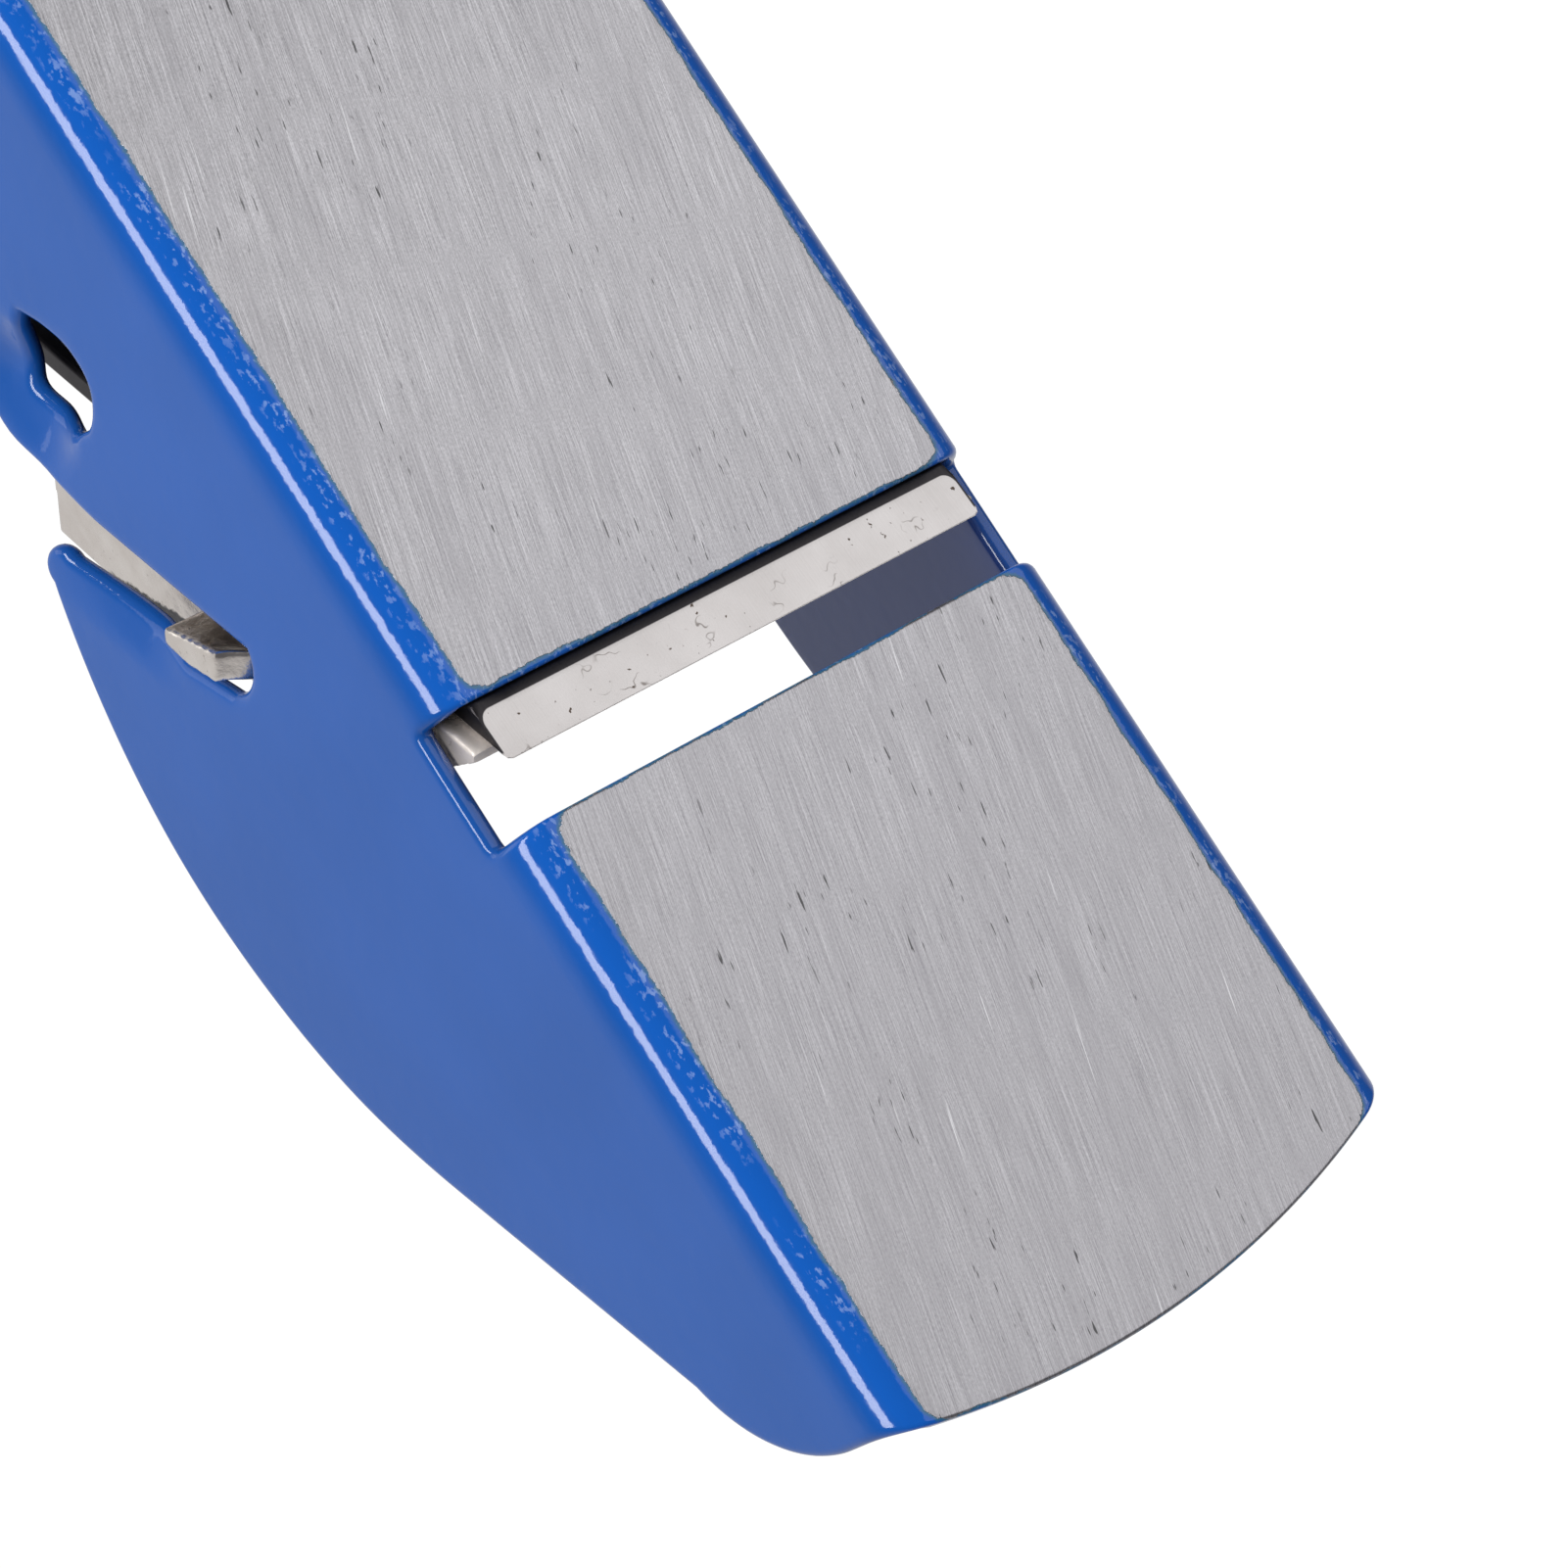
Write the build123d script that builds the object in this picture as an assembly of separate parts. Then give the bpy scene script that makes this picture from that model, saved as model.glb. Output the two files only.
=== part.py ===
from build123d import *
import math
import os

# Block plane with a pressed-steel body, drawn in millimetres.
# Everything is drawn from the rear edge of the mouth (x = 0), with the toe towards +X,
# the left side towards +Y and the sole at z = 0. Export moves it onto the row's frame,
# whose origin is the middle of the sole's full length.

# ---- driving dimensions -------------------------------------------------------------
TOE_REACH = 54.8            # mouth to the tip of the toe
HEEL_REACH = 105.2          # mouth to the tip of the heel
END_ARC_RADIUS = 73.0       # plan radius of the toe and heel ends
BODY_WIDTH = 47.0           # outside width just above the bends
SHEET = 1.6                 # thickness of the body's sheet
BEND_RADIUS = 3.6           # outside radius of the two long bends
FLARE = math.radians(6.2)   # outward lean of each cheek
CHEEK_TOP = 40.0            # blank height, before the outline is cut
MOUTH_LENGTH = 8.6
MOUTH_NOTCH_TOP = 3.0       # the mouth's saw cut runs up into the bends to here

PITCH = math.radians(30.0)  # slope of the blade
EDGE_X = 4.4                # cutting edge, ahead of the mouth's rear edge
EDGE_Z = 0.2                # cutting edge, retracted above the sole at rest
BLADE_WIDTH = 41.0
BLADE_LENGTH = 96.0
BLADE_THICKNESS = 1.8
BEVEL = math.radians(26.0)
SEAT_GAP = 0.15             # running gap under and over the blade

NOTCH_FIRST = 72.0          # adjusting notches, measured up the blade
NOTCH_PITCH = 2.6
NOTCH_COUNT = 7
NOTCH_WIDTH = 8.0
NOTCH_LENGTH = 1.6

BED_SHEET = 1.5
BED_WIDTH = 28.0
BED_FRONT = 38.0            # front of the seat, measured up the blade
BED_REAR = 84.0             # front face of the rear riser
BED_FOOT_FRONT_X = -43.0
BED_FOOT_REAR_X = -95.0
RIVET_X = -88.0
RIVET_Y = 8.0
RIVET_RADIUS = 2.0

CAP_HALF_WIDTH = 21.6
CAP_TAIL = 73.0
CAP_SHOULDER = 48.0
CAP_WALL = 2.2
CAP_LEAN_LOW = 5.0   # height above the blade where the side walls start to lean in
CAP_LEAN = 0.5       # how far they lean in at the top
LUG_END_Y = 25.9
CLAMP_U = 64.0              # clamp screw, measured up the blade
CLAMP_STUD_RADIUS = 3.0
CLAMP_WHEEL_RADIUS = 11.5
CLAMP_WHEEL_LOW = 1.6
CLAMP_WHEEL_HIGH = 5.0
CLAMP_BOSS_LOW = 6.6

SPINDLE_W = -10.5           # adjuster axis, below the blade's top face
SPINDLE_RADIUS = 2.5
JOURNAL_RADIUS = 2.1
ADJUST_WHEEL_RADIUS = 8.0
RUNNING_GAP = 0.05          # radial gap of a turning fit


# ---- helpers ------------------------------------------------------------------------
def on_blade(u, w):
    """Point (x, z) that lies u up the blade from its edge and w above its top face."""
    x = EDGE_X - u * math.cos(PITCH) + w * math.sin(PITCH)
    z = EDGE_Z + u * math.sin(PITCH) + w * math.cos(PITCH)
    return (x, z)


def blade_plane(u=0.0, w=0.0):
    """Plane lying in the blade's top face, x up the blade, z square to it."""
    x, z = on_blade(u, w)
    up = (-math.cos(PITCH), 0, math.sin(PITCH))
    normal = (math.sin(PITCH), 0, math.cos(PITCH))
    return Plane(origin=(x, 0, z), x_dir=up, z_dir=normal)


def spindle_plane(u):
    """Plane square to the adjuster's axis, z up the blade."""
    x, z = on_blade(u, SPINDLE_W)
    up = (-math.cos(PITCH), 0, math.sin(PITCH))
    return Plane(origin=(x, 0, z), x_dir=(0, 1, 0), z_dir=up)


def side_polygon(points, half_width):
    """Solid of a straight-sided outline in the X-Z plane."""
    return extrude(Plane.XZ * make_face(Polyline(*points, close=True)), amount=half_width, both=True)


def blade_side_polygon(points, half_width):
    """Solid of a straight-sided outline given as (u, w) points."""
    return side_polygon([on_blade(u, w) for u, w in points], half_width)


def rod(u_low, u_high, radius):
    """Cylinder on the adjuster's axis."""
    return extrude(spindle_plane(u_low) * Circle(radius), amount=u_high - u_low)


def post(u, w_low, w_high, radius):
    """Cylinder square to the blade."""
    return extrude(blade_plane(u, w_low) * Circle(radius), amount=w_high - w_low)


# ---- body ---------------------------------------------------------------------------
def channel_section():
    """Cross-section of the folded sheet, looking along X."""
    lean = Vector(math.sin(FLARE), math.cos(FLARE))
    inward = Vector(-math.cos(FLARE), math.sin(FLARE))
    centre = Vector(BODY_WIDTH / 2 - BEND_RADIUS / math.cos(FLARE), BEND_RADIUS)
    middle = math.radians(-45.0) - FLARE / 2
    bisector = Vector(math.cos(middle), math.sin(middle))
    inner_radius = BEND_RADIUS - SHEET
    outer_end = centre - inward * BEND_RADIUS
    inner_end = centre - inward * inner_radius
    top_outer = outer_end + lean * CHEEK_TOP
    top_inner = inner_end + lean * CHEEK_TOP
    half = [
        Line((0, 0), (centre.X, 0)),
        ThreePointArc((centre.X, 0), centre + bisector * BEND_RADIUS, outer_end),
        Line(outer_end, top_outer),
        Line(top_outer, top_inner),
        Line(top_inner, inner_end),
        ThreePointArc(inner_end, centre + bisector * inner_radius, (centre.X, SHEET)),
        Line((centre.X, SHEET), (0, SHEET)),
        Line((0, SHEET), (0, 0)),
    ]
    right_half = make_face(half)
    return right_half + mirror(right_half, Plane.YZ)


def cheek_outline():
    """Side view of the blank: toe, hump, cap slot, rear cheek and heel."""
    nose_low = (50.6, 5.0)
    nose_high = (43.0, 15.7)
    slope_top = (24.1, 27.5)
    tip_top = (-26.0, 30.2)
    tip_low = (-26.4, 27.4)
    slot_lug = (-18.1, 22.75)
    slot_end_high = (-10.7, 18.4)
    slot_end_low = (-12.2, 14.3)
    slot_mouth = (-25.5, 21.3)
    shoulder = (-36.0, 25.0)
    rear_top = (-52.0, 25.0)
    heel_top = (-95.0, 9.6)
    heel_low = (-102.0, 3.5)
    return [
        Line((60, -1), (60, 5.0)),
        Line((60, 5.0), nose_low),
        ThreePointArc(nose_low, (48.8, 11.3), nose_high),
        Line(nose_high, slope_top),
        Spline(slope_top, (12.7, 33.0), (-1.0, 35.5), (-13.4, 34.5), tip_top,
               tangents=[(-0.848, 0.53), (-0.9, -0.43)]),
        ThreePointArc(tip_top, (-27.8, 28.4), tip_low),
        Line(tip_low, slot_lug),
        Line(slot_lug, (-14.6, 21.3)),
        Line((-14.6, 21.3), slot_end_high),
        ThreePointArc(slot_end_high, (-10.6, 15.9), slot_end_low),
        Line(slot_end_low, slot_mouth),
        Spline(slot_mouth, (-30.4, 23.2), shoulder, tangents=[(-0.885, 0.466), (-1, 0)]),
        Line(shoulder, rear_top),
        Spline(rear_top, (-68.0, 20.2), (-82.0, 12.6), heel_top, tangents=[(-1, 0), (-1, -0.12)]),
        ThreePointArc(heel_top, (-100.2, 7.6), heel_low),
        Line(heel_low, (-110, 3.5)),
        Line((-110, 3.5), (-110, -1)),
        Line((-110, -1), (60, -1)),
    ]


def plan_outline():
    """Top view of the blank, with arched toe and heel."""
    half = BODY_WIDTH
    sag = END_ARC_RADIUS - math.sqrt(END_ARC_RADIUS ** 2 - half ** 2)
    toe = TOE_REACH - sag
    heel = sag - HEEL_REACH
    return [
        ThreePointArc((toe, -half), (TOE_REACH, 0), (toe, half)),
        Line((toe, half), (heel, half)),
        ThreePointArc((heel, half), (-HEEL_REACH, 0), (heel, -half)),
        Line((heel, -half), (toe, -half)),
    ]


def cheek_pocket():
    """Teardrop window cut through both cheeks, low behind the slot."""
    edges = [
        Line((-39.5, 16.2), (-35.2, 14.0)),
        Spline((-35.2, 14.0), (-30.8, 15.4), (-32.4, 18.0), tangents=[(0.89, -0.46), (-0.9, 0.2)]),
        Line((-32.4, 18.0), (-39.5, 16.2)),
    ]
    return extrude(Plane.XZ * make_face(edges), amount=BODY_WIDTH, both=True)


def make_plane_body():
    length = TOE_REACH + HEEL_REACH
    blank = extrude(Plane.YZ.offset(-HEEL_REACH) * channel_section(), amount=length)
    side = extrude(Plane.XZ * make_face(cheek_outline()), amount=BODY_WIDTH, both=True)
    plan = extrude(make_face(plan_outline()), amount=2 * CHEEK_TOP)
    body = blank & side & plan
    mouth = Pos(MOUTH_LENGTH / 2, 0, MOUTH_NOTCH_TOP / 2) * Box(
        MOUTH_LENGTH, 2 * BODY_WIDTH, MOUTH_NOTCH_TOP)
    seat_w = -BLADE_THICKNESS - SEAT_GAP
    filed_seat = blade_side_polygon([(1.0, seat_w), (9.0, seat_w), (9.0, 1.0), (1.0, 1.0)], 21.9)
    body = body - mouth - filed_seat - cheek_pocket()
    for y in (-RIVET_Y, RIVET_Y):
        body -= rivet_shank(y)
    return body


def rivet_shank(y):
    """Countersunk shank, flush with the sole."""
    flare = Pos(RIVET_X, y, 0.5) * Cone(RIVET_RADIUS + 1.0, RIVET_RADIUS, 1.0)
    shank = Pos(RIVET_X, y, (SHEET + BED_SHEET) / 2) * Cylinder(RIVET_RADIUS, SHEET + BED_SHEET)
    return flare + shank


def make_bed_rivets():
    """Two rivets that hold the bed's rear foot to the sole, as one group."""
    top = SHEET + BED_SHEET
    rivets = []
    for y in (-RIVET_Y, RIVET_Y):
        head = Pos(RIVET_X, y, top + 0.7) * Cylinder(RIVET_RADIUS + 1.8, 1.4)
        head = fillet(head.edges().sort_by(Axis.Z)[-1], 1.1)
        rivets.append(rivet_shank(y) + head)
    return Compound(children=rivets)


# ---- bed ----------------------------------------------------------------------------
def make_bed_bracket():
    """Folded strip that carries the blade and the adjuster."""
    foot_z = SHEET + BED_SHEET / 2
    seat_w = -BLADE_THICKNESS - SEAT_GAP - BED_SHEET / 2
    front = on_blade(BED_FRONT, seat_w)
    rear = on_blade(BED_REAR + BED_SHEET / 2, seat_w)
    riser = on_blade(BED_REAR + BED_SHEET / 2, SPINDLE_W - 7.0)
    points = [
        (BED_FOOT_FRONT_X, foot_z),
        (front[0], foot_z),
        front,
        rear,
        riser,
        (riser[0], foot_z),
        (BED_FOOT_REAR_X, foot_z),
    ]
    path = FilletPolyline(*points, radius=2.0)
    section = Plane.XZ * trace(path, line_width=BED_SHEET)
    bed = extrude(section, amount=BED_WIDTH / 2, both=True)
    slot = blade_side_polygon([(70.0, -6.0), (81.5, -6.0), (81.5, 0.0), (70.0, 0.0)], NOTCH_WIDTH / 2)
    bed = bed - slot - rod(BED_REAR - 1, BED_REAR + 3, JOURNAL_RADIUS + RUNNING_GAP)
    for y in (-RIVET_Y, RIVET_Y):
        bed -= rivet_shank(y)
    return bed


# ---- blade --------------------------------------------------------------------------
def make_blade():
    """Flat iron, bevel down, with a row of adjusting notches."""
    bevel_run = BLADE_THICKNESS / math.tan(BEVEL)
    profile = [
        (0.0, 0.0),
        (bevel_run, -BLADE_THICKNESS),
        (BLADE_LENGTH, -BLADE_THICKNESS),
        (BLADE_LENGTH, 0.0),
    ]
    blade = blade_side_polygon(profile, BLADE_WIDTH / 2)
    square = blade.edges().filter_by(Axis((0, 0, 0), blade_plane().z_dir))
    blade = fillet(square.sort_by(Axis.Z)[-2:], 5.0)
    for k in range(NOTCH_COUNT):
        u = NOTCH_FIRST + k * NOTCH_PITCH
        notch = blade_plane(u, -BLADE_THICKNESS / 2) * Box(NOTCH_LENGTH, NOTCH_WIDTH, 2 * BLADE_THICKNESS)
        blade -= notch
    return blade


# ---- lever cap ----------------------------------------------------------------------
def cap_section():
    """Bar with the cap's cross-section: upright side walls that lean in towards the top."""
    half = CAP_HALF_WIDTH
    top = 14.0
    right = [(half, -2.0), (half, CAP_LEAN_LOW), (half - CAP_LEAN, top)]
    left = [(-y, w) for y, w in reversed(right)]
    x, z = on_blade(0, 0)
    end = Plane(origin=(x, 0, z), x_dir=(0, -1, 0), z_dir=(-math.cos(PITCH), 0, math.sin(PITCH)))
    return extrude(end * make_face(Polyline(*right, *left, close=True)), amount=CAP_TAIL + 5)


def make_lever_cap():
    """Hollow casting with a lug on each side, hooked under the cheeks."""
    low = SEAT_GAP
    top = [(10.0, 6.2), (24.0, 10.8), (40.0, 13.2), (56.0, 12.4)]
    top = [on_blade(u, w) for u, w in top]
    nose = on_blade(1.0, 1.0)
    tail = on_blade(CAP_TAIL, 9.4)
    under = [(CAP_TAIL, 9.4), (CAP_TAIL, 7.4), (50.0, 7.4), (CAP_SHOULDER, 6.5), (30.0, 5.6),
             (16.0, 2.6), (9.0, low), (1.0, low), (1.0, 1.0)]
    edges = Curve() + [Spline(nose, *top, tail)]
    edges += Polyline(*[on_blade(u, w) for u, w in under])
    solid = extrude(Plane.XZ * make_face(edges), amount=CAP_HALF_WIDTH, both=True)
    half = CAP_HALF_WIDTH
    plan = make_face([
        Line((0, -half), (0, half)),
        Line((0, half), (CAP_SHOULDER, half)),
        Spline((CAP_SHOULDER, half), (52.4, 13.6), (63.0, 10.2), tangents=[(0.5, -0.87), (1, -0.12)]),
        ThreePointArc((63.0, 10.2), (CAP_TAIL, 0), (63.0, -10.2)),
        Spline((63.0, -10.2), (52.4, -13.6), (CAP_SHOULDER, -half), tangents=[(-1, -0.12), (-0.5, -0.87)]),
        Line((CAP_SHOULDER, -half), (0, -half)),
    ])
    cap = solid & extrude(blade_plane(0, -2) * plan, amount=20)
    cap &= cap_section()
    hollow = blade_side_polygon([(11.0, -1.0), (14.0, 5.4), (24.0, 8.4), (46.0, 10.6), (46.0, -1.0)],
                                half - CAP_WALL)
    groove = blade_side_polygon([(45.0, -1.0), (45.0, 10.5), (58.0, 9.9), (70.0, 8.4), (70.0, -1.0)], 7.5)
    cap = cap - hollow - groove
    cap += post(CLAMP_U, CLAMP_BOSS_LOW, 10.5, 5.5)
    lug = [(22.9, 4.6), (28.8, 6.4), (28.7, 7.6), (26.2, 7.8), (22.9, 7.1)]
    cap += blade_side_polygon(lug, LUG_END_Y) - blade_side_polygon(lug, half - CAP_WALL)
    cap -= post(CLAMP_U, CLAMP_BOSS_LOW - 1, 10.0, CLAMP_STUD_RADIUS + RUNNING_GAP)
    return cap


def make_clamp_stud():
    """Threaded stud, cast fast in the wheel, with a reduced tip."""
    stud = post(CLAMP_U, CLAMP_WHEEL_LOW, 8.4, CLAMP_STUD_RADIUS)
    return stud + post(CLAMP_U, 0.8, CLAMP_WHEEL_LOW, 2.0)


def make_clamp_wheel():
    wheel = post(CLAMP_U, CLAMP_WHEEL_LOW, CLAMP_WHEEL_HIGH, CLAMP_WHEEL_RADIUS)
    wheel = chamfer(wheel.edges().filter_by(GeomType.CIRCLE), 0.5)
    return wheel - post(CLAMP_U, 0, 9, CLAMP_STUD_RADIUS)


def make_clamp_foot():
    foot = post(CLAMP_U, SEAT_GAP, 1.4, 5.5)
    return foot - post(CLAMP_U, 0.7, 2, 2.0 + RUNNING_GAP)


# ---- depth adjuster -----------------------------------------------------------------
def make_adjust_spindle():
    """Threaded spindle with a thrust collar and a plain journal."""
    thread = rod(64.0, 82.2, SPINDLE_RADIUS)
    collar = rod(82.2, BED_REAR - 0.1, 4.0)
    journal = rod(BED_REAR - 0.1, 97.0, JOURNAL_RADIUS)
    return thread + collar + journal - make_wheel_pin()


def make_wheel_pin():
    """Cross pin that locks the wheel to the spindle."""
    x, z = on_blade(88.6, SPINDLE_W)
    return Plane(origin=(x, -4.6, z), z_dir=(0, 1, 0)) * extrude(Circle(0.75), amount=9.2)


def make_adjust_wheel():
    rim = rod(87.8, 94.6, ADJUST_WHEEL_RADIUS)
    rim = chamfer(rim.edges().filter_by(GeomType.CIRCLE), 0.6)
    hub = rod(86.3, 95.6, 4.6)
    return rim + hub - rod(86, 98, JOURNAL_RADIUS) - make_wheel_pin()


def make_adjust_washer():
    return rod(85.6, 86.3, 5.2) - rod(85, 87, JOURNAL_RADIUS)


def make_adjust_carriage():
    """Threaded block whose tooth stands in one of the blade's notches."""
    tooth_u = NOTCH_FIRST + 2 * NOTCH_PITCH
    block = blade_side_polygon([(73.0, -14.2), (80.5, -14.2), (80.5, -4.0), (73.0, -4.0)], 4.5)
    block = chamfer(block.edges().filter_by(Axis.Y), 0.6)
    tooth = blade_side_polygon(
        [(tooth_u - 0.6, -5.0), (tooth_u + 0.6, -5.0), (tooth_u + 0.6, -0.4), (tooth_u - 0.6, -0.4)], 3.4)
    return block + tooth - rod(70, 83, SPINDLE_RADIUS + RUNNING_GAP)


# ---- export -------------------------------------------------------------------------
NODES = {
    "plane_body": make_plane_body,
    "bed_bracket": make_bed_bracket,
    "bed_rivets": make_bed_rivets,
    "blade": make_blade,
    "lever_cap": make_lever_cap,
    "clamp_stud": make_clamp_stud,
    "clamp_wheel": make_clamp_wheel,
    "clamp_foot": make_clamp_foot,
    "adjust_spindle": make_adjust_spindle,
    "adjust_wheel": make_adjust_wheel,
    "wheel_pin": make_wheel_pin,
    "adjust_washer": make_adjust_washer,
    "adjust_carriage": make_adjust_carriage,
}

os.makedirs("parts", exist_ok=True)
frame_shift = Pos((HEEL_REACH - TOE_REACH) / 2, 0, 0)
for name, make in NODES.items():
    export_step(frame_shift * make(), f"parts/{name}.step")
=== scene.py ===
import math

import bmesh
import bpy
import numpy as np
from mathutils import Matrix, Vector
from mathutils.geometry import delaunay_2d_cdt

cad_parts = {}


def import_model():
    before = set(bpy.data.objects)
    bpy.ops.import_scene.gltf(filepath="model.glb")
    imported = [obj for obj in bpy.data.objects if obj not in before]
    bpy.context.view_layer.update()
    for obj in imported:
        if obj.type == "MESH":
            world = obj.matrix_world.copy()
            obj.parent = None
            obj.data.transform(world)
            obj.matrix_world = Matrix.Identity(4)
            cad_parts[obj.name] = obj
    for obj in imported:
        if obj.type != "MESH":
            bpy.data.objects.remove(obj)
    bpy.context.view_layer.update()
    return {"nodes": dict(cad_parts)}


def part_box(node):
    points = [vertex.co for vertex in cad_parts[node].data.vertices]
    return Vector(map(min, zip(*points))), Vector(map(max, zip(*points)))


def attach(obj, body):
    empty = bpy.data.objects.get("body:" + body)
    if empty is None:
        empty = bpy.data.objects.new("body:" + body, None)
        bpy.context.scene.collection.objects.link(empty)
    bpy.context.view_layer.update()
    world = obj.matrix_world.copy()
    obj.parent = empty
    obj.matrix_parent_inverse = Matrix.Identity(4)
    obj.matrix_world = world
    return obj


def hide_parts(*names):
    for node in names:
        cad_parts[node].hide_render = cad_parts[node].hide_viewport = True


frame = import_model()

# Lengths below are millimetres. x is measured from the rear edge of the mouth towards the
# toe, y towards the left side and z up from the sole; to_frame() turns them into the frame.
MM = 0.001
TOE_REACH = 54.8
HEEL_REACH = 105.2
END_ARC_RADIUS = 73.0
SHEET = 1.6
BODY_WIDTH = 47.0
BEND_RADIUS = 3.6
FLARE = math.radians(6.2)
BEND_ANGLE = math.pi / 2 - FLARE
BEND_Y = BODY_WIDTH / 2 - BEND_RADIUS / math.cos(FLARE)   # where each bend leaves the sole
BEND_END = BEND_Y + BEND_RADIUS * BEND_ANGLE              # the same, along the unrolled sheet
CHEEK_Z = BEND_RADIUS * (1 - math.sin(FLARE))             # height where the bend ends
MOUTH_LENGTH = 8.6
MOUTH_HALF = BEND_Y + BEND_RADIUS * math.radians(81)
PAD_CORNER = 1.5        # corner radius of the ground pads
PAD_OVERLAP = 0.4       # how far bare steel reaches past the start of each bend
MOUTH_REAR_RIM = 0.3    # enamel left on the sole behind the mouth, in front of it and at the ends
MOUTH_FRONT_RIM = 0.15
END_RIM = 0.1

# Slot and pressed pocket in each cheek, as (x, z).
SLOT_TIP = (-26.1, 27.0)
SLOT_LUG = (-18.1, 22.75)
POCKET_LEFT = (-39.5, 15.9)
POCKET_RIGHT = (-30.6, 16.6)
POCKET_DEEP = ((-37.6, 20.6), (-34.2, 20.2))

PITCH = math.radians(30.0)
EDGE = (4.4, 0.2)
BLADE_HALF = 20.5
BLADE_LENGTH = 96.0
BLADE_THICKNESS = 1.8
BEVEL = math.radians(26.0)
NOTCHES = [72.0 + 2.6 * k for k in range(7)]
NOTCH_HALF = 4.0
NOTCH_LENGTH = 1.6
BRIGHT_STRIP = 3.2      # length of bright steel at the blade's edge; past it the underside is painted deep grey as shade
CLAMP_U = 64.0
SPINDLE_W = -10.5
ROOT_REACH = 1.5        # how much further down the slot each lug reaches at its root
NOSE_BACK = 0.8         # how far the lever cap's nose is drawn back
SEAT_CLEARANCE = 0.15   # gap kept between the blade's underside and the mouth's rear edge
SEAT_LAND = 0.3         # thickness the rear edge keeps where it is filed away

SMOOTH_ANGLE = math.radians(38)   # edges sharper than this stay sharp
ROUND_STEPS = 5         # segments in each quarter of a sheet's rounded edge
GRID_CLEARANCE = 0.35   # how far a sheet's grid points keep away from its edges
CAST_VOXEL = 0.24
CAST_EASING = 3         # smoothing rounds
SCREW_SIDES = 48
ROWS_PER_TURN = 8
LIGHTS_AIM = (0, 0, 15)
FLOOR_REACH = 3.0       # this and the next are metres
FLOOR_GAP = 0.0004

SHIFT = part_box("plane_body")[0].x / MM + HEEL_REACH
UP_BLADE = Vector((-math.cos(PITCH), 0, math.sin(PITCH)))
OFF_BLADE = Vector((math.sin(PITCH), 0, math.cos(PITCH)))
EDGE_POINT = Vector((EDGE[0], 0, EDGE[1]))


def to_frame(point):
    """The frame's place for a point in millimetres."""
    return Vector(((point[0] + SHIFT) * MM, point[1] * MM, point[2] * MM))


def on_blade(u, v, w):
    """Point u up the blade, v across it and w above its top face."""
    point = EDGE_POINT + UP_BLADE * u + OFF_BLADE * w
    point.y = v
    return point


# ---- mesh helpers ----------------------------------------------------------------------
def add_mesh(name, points, faces, body, replaced, material):
    """Makes one piece from points in millimetres and puts it on its body."""
    mesh = bpy.data.meshes.new(name)
    mesh.from_pydata([to_frame(p) for p in points], [], faces)
    mesh.update()
    piece = bpy.data.objects.new(name, mesh)
    bpy.context.scene.collection.objects.link(piece)
    return dress(piece, body, replaced, material)


def dress(piece, body, replaced, material):
    """Gives a piece its material, body and smooth shading, and hides the CAD nodes it replaces."""
    mesh = piece.data
    work = bmesh.new()
    work.from_mesh(mesh)
    bmesh.ops.recalc_face_normals(work, faces=work.faces)
    work.to_mesh(mesh)
    work.free()
    mesh.shade_smooth()
    mesh.set_sharp_from_angle(angle=SMOOTH_ANGLE)
    mesh.materials.clear()
    mesh.materials.append(material)
    weigh = piece.modifiers.new("weighted normals", "WEIGHTED_NORMAL")
    weigh.keep_sharp = True
    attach(piece, body)
    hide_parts(*replaced)
    return piece


def inset_ring(ring, distance):
    """A closed 2-D ring moved inward by distance; the material lies on its left."""
    least_sum, least_reach = 0.6, 0.5    # keep sharp corners from running away
    ring = np.array(ring, float)
    before = ring - np.roll(ring, 1, axis=0)
    after = np.roll(ring, -1, axis=0) - ring
    normals = []
    for a, b in zip(before, after):
        a = a / (np.linalg.norm(a) + 1e-9)
        b = b / (np.linalg.norm(b) + 1e-9)
        n = np.array((-(a[1] + b[1]), a[0] + b[0]))
        length = max(np.linalg.norm(n), least_sum)
        n = n / length
        reach = max(abs(n @ np.array((-a[1], a[0]))), least_reach)
        normals.append(n / reach)
    return ring + np.array(normals) * distance


def line_to(a, b, step=0.8):
    """Samples of a straight line from a to just before b."""
    count = max(1, round(math.dist(a, b) / step))
    return [(a[0] + (b[0] - a[0]) * k / count, a[1] + (b[1] - a[1]) * k / count) for k in range(count)]


def spaced(points, step):
    """A closed ring sampled at about even steps, keeping its own corners."""
    out = []
    for a, b in zip(points, points[1:] + points[:1]):
        out += line_to(a, b, step)
    return out


def inside(ring, points):
    """Which of the points lie inside a closed ring."""
    ring = np.array(ring)
    found = np.zeros(len(points), bool)
    for (x1, y1), (x2, y2) in zip(ring, np.roll(ring, -1, axis=0)):
        if y1 == y2:
            continue
        crosses = (y1 > points[:, 1]) != (y2 > points[:, 1])
        found ^= crosses & (points[:, 0] < (x2 - x1) * (points[:, 1] - y1) / (y2 - y1) + x1)
    return found


def near(ring, points, distance):
    """Which of the points lie within distance of a ring's samples."""
    ring = np.array(ring)
    found = np.zeros(len(points), bool)
    for a in ring:
        found |= ((points - a) ** 2).sum(1) < distance ** 2
    return found


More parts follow.
